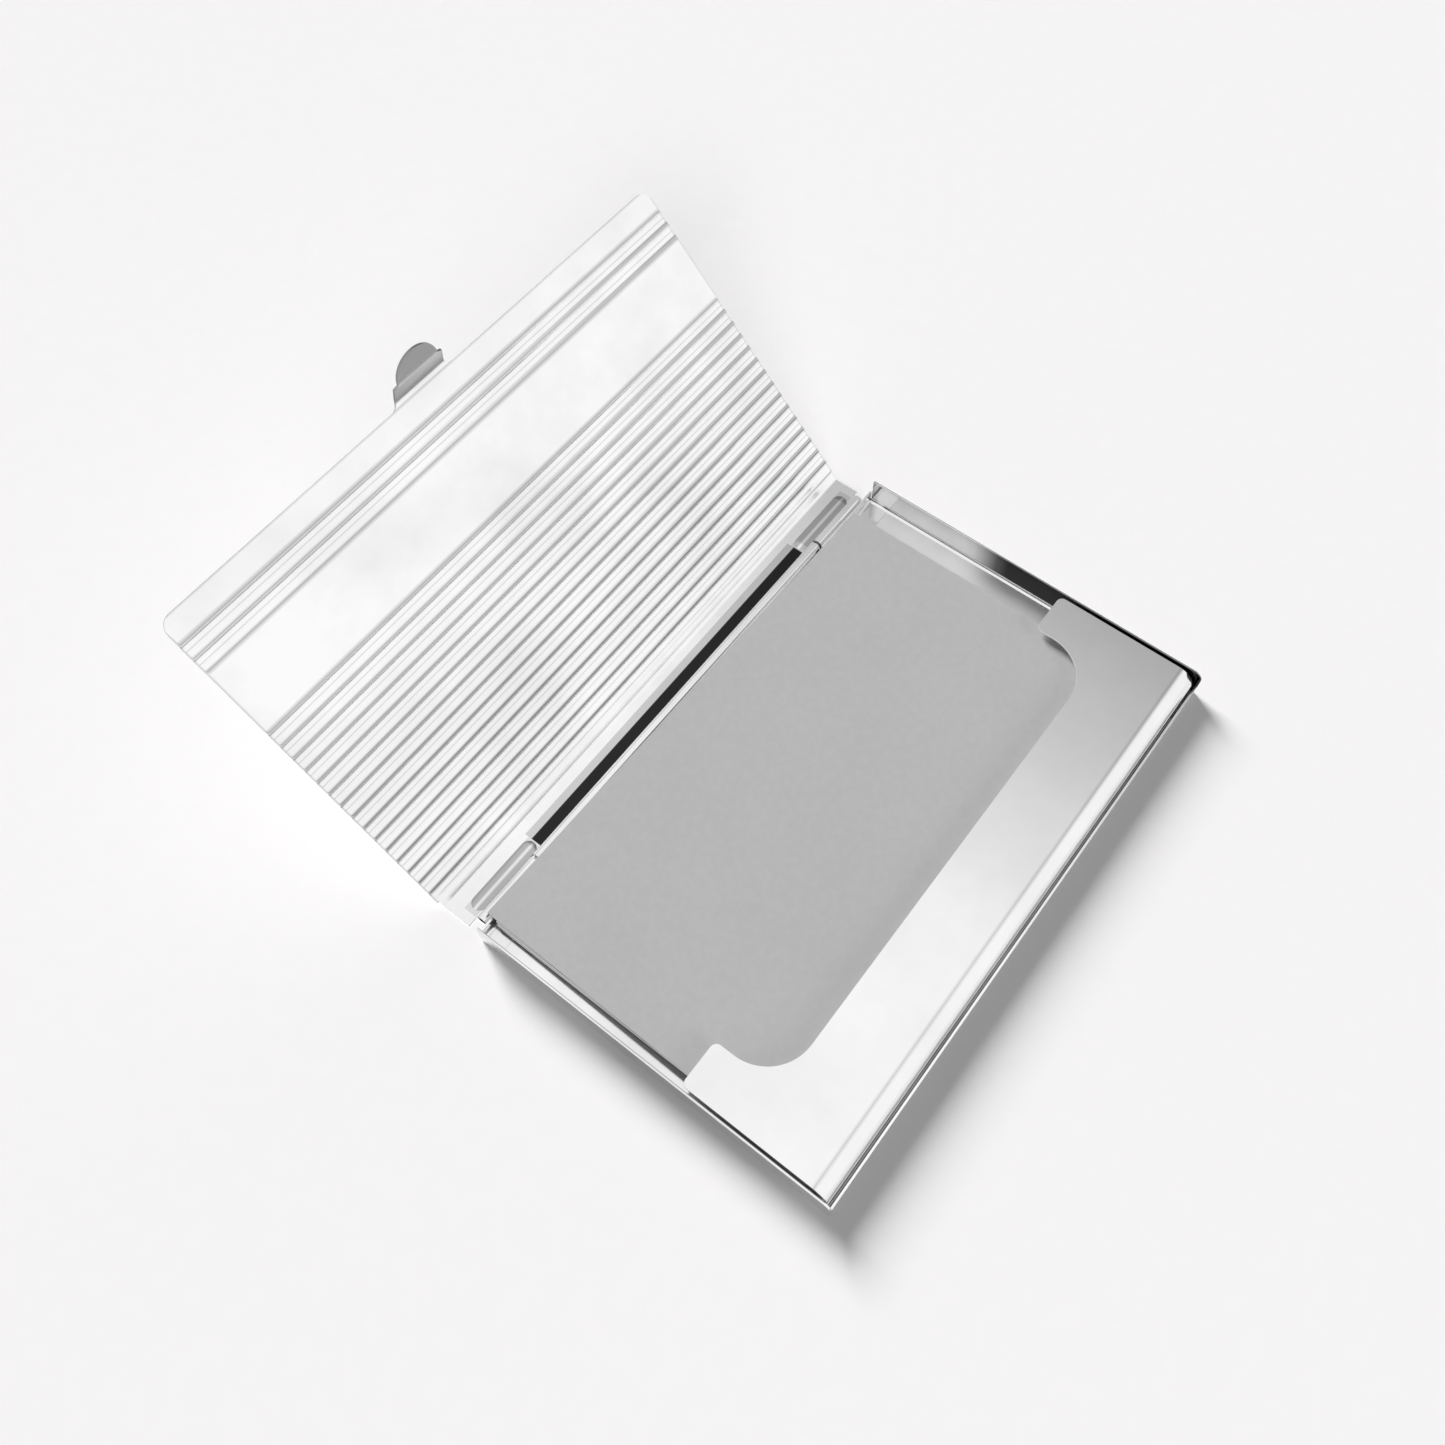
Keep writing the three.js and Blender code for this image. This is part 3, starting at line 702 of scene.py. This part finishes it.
def retainer_outline(to_s):
    """The flat retainer in (x, s): two ears with a wide rounded notch between them."""
    ear_y, notch_y, inner = FRONT + EAR_DEPTH, FRONT + NOTCH_DEPTH, RET_HALF - EAR_WIDTH
    half = [(RET_HALF, 0.0)]
    half += corner(RET_HALF - EAR_CORNER, ear_y - EAR_CORNER + to_s, EAR_CORNER, 0, 90)
    half += corner(inner + EAR_CORNER, ear_y - EAR_CORNER + to_s, EAR_CORNER, 90, 180)
    half += corner(inner - NOTCH_RADIUS, notch_y + NOTCH_RADIUS + to_s, NOTCH_RADIUS, 0, -90, 20)
    return half + [(-x, s) for x, s in reversed(half)]


def retainer_painted_shade(x, s):
    """A fine line of painted shade where the flat flap meets the rolled front."""
    return 0.3 * band_tone(s - s_flap + 0.45, 0.1, 0.3)


ret_path = Path(retainer_points())
s_flap = ret_path.s[-1] - (FRONT + EAR_DEPTH - (skirt + roll))
ret_outline = retainer_outline(s_flap - (skirt + roll))
ret_mats = (steel_flap, bright_rim)
retainer = bent_sheet("retainer_sheet", ret_outline, ret_path, RET_T, ret_mats, painted_shade=retainer_painted_shade)
dress(retainer, "base", "polished_steel", "card_retainer")

# ---- Pieces that keep their CAD shape ----
for name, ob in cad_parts.items():
    if name.startswith("card_") and name != "card_retainer":
        ob.data.materials.clear()
        ob.data.materials.append(paper)
    if name == "hinge_pin":
        ob.data.materials.clear()
        ob.data.materials.append(wire)


# ---- Floor ----
def paper_floor():
    m, nt, bsdf = new_material("paper_floor")
    coord = node(nt, "ShaderNodeTexCoord")
    grain = node(nt, "ShaderNodeTexNoise", Scale=300.0, Detail=3.0)
    nt.links.new(coord.outputs["Object"], grain.inputs["Vector"])
    shade = ramp(nt, [(0.3, 0.905), (0.7, 0.915)])
    nt.links.new(grain.outputs["Fac"], shade.inputs["Fac"])
    nt.links.new(shade.outputs["Color"], bsdf.inputs["Base Color"])
    bsdf.inputs["Roughness"].default_value = 0.9
    bsdf.inputs["Specular IOR Level"].default_value = 0.1
    return m


bm = bmesh.new()
bmesh.ops.create_grid(bm, x_segments=8, y_segments=8, size=3.0)
floor = make("floor", bm, (), None, 0)
floor.location.z = -0.02 * MM
floor.data.materials.append(paper_floor())


# ---- Light: a white room, grey on one side, and three soft distant lamps ----
def gate(nt, source, lo, hi):
    """0 below lo, 1 above hi, smooth between."""
    g = node(nt, "ShaderNodeMapRange", interpolation_type="SMOOTHSTEP")
    g.inputs["From Min"].default_value = lo
    g.inputs["From Max"].default_value = hi
    nt.links.new(source, g.inputs["Value"])
    return g.outputs["Result"]


def room():
    """White, with a grey part towards +X; matte surfaces get most of their light from the lamps."""
    world = bpy.data.worlds.new("room")
    bpy.context.scene.world = world
    world.use_nodes = True
    nt = world.node_tree
    background = nt.nodes["Background"]
    coord = node(nt, "ShaderNodeTexCoord")
    sep = node(nt, "ShaderNodeSeparateXYZ")
    nt.links.new(coord.outputs["Generated"], sep.inputs["Vector"])
    grey_side = node(nt, "ShaderNodeMath", operation="MULTIPLY")
    nt.links.new(gate(nt, sep.outputs["X"], 0.30, 0.66), grey_side.inputs[0])
    nt.links.new(gate(nt, sep.outputs["Y"], -0.5, -0.15), grey_side.inputs[1])
    shade = node(nt, "ShaderNodeMix", data_type="RGBA")
    nt.links.new(grey_side.outputs[0], shade.inputs["Factor"])
    shade.inputs["A"].default_value = (1.0, 1.0, 1.0, 1)
    shade.inputs["B"].default_value = (0.33, 0.33, 0.335, 1)
    nt.links.new(shade.outputs["Result"], background.inputs["Color"])
    rays = node(nt, "ShaderNodeLightPath")
    level = node(nt, "ShaderNodeMapRange")
    level.inputs["To Min"].default_value = 1.0
    level.inputs["To Max"].default_value = 0.09
    nt.links.new(rays.outputs["Diffuse Depth"], level.inputs["Value"])
    nt.links.new(level.outputs["Result"], background.inputs["Strength"])


def lamp(name, strength, towards, angle, blockers):
    """A soft distant lamp, standing in the direction given; only the blockers cast its shadow."""
    data = bpy.data.lights.new(name, "SUN")
    data.energy = strength
    data.angle = math.radians(angle)
    data.color = (1.0, 0.984, 0.992)
    ob = bpy.data.objects.new(name, data)
    bpy.context.scene.collection.objects.link(ob)
    ob.rotation_euler = Vector(towards).to_track_quat("Z", "Y").to_euler()
    ob.visible_glossy = False
    group = bpy.data.collections.new(name + "_blockers")
    for piece in blockers:
        group.objects.link(piece)
    ob.light_linking.blocker_collection = group


room()
lamp("low_lamp", 4.75, (0.27, 0.84, 0.46), 24, [tray, retainer])
lamp("card_lamp", 0.9, (0.10, -0.95, 0.29), 24, [retainer])
lamp("left_lamp", 0.78, (-0.70, -0.45, 0.55), 24, [lid])

# ---- Camera, at the photograph's viewing angle ----
cam_data = bpy.data.cameras.new("camera")
cam_data.lens = 33.32
cam_data.clip_start = 0.01
cam_data.clip_end = 50
cam = bpy.data.objects.new("camera", cam_data)
bpy.context.scene.collection.objects.link(cam)
cam.location = (-0.070829, -0.034209, 0.177536)
cam.rotation_euler = [math.radians(a) for a in (27.2599, 0.7998, -52.2248)]
bpy.context.scene.camera = cam
bpy.context.scene.view_settings.view_transform = "Standard"
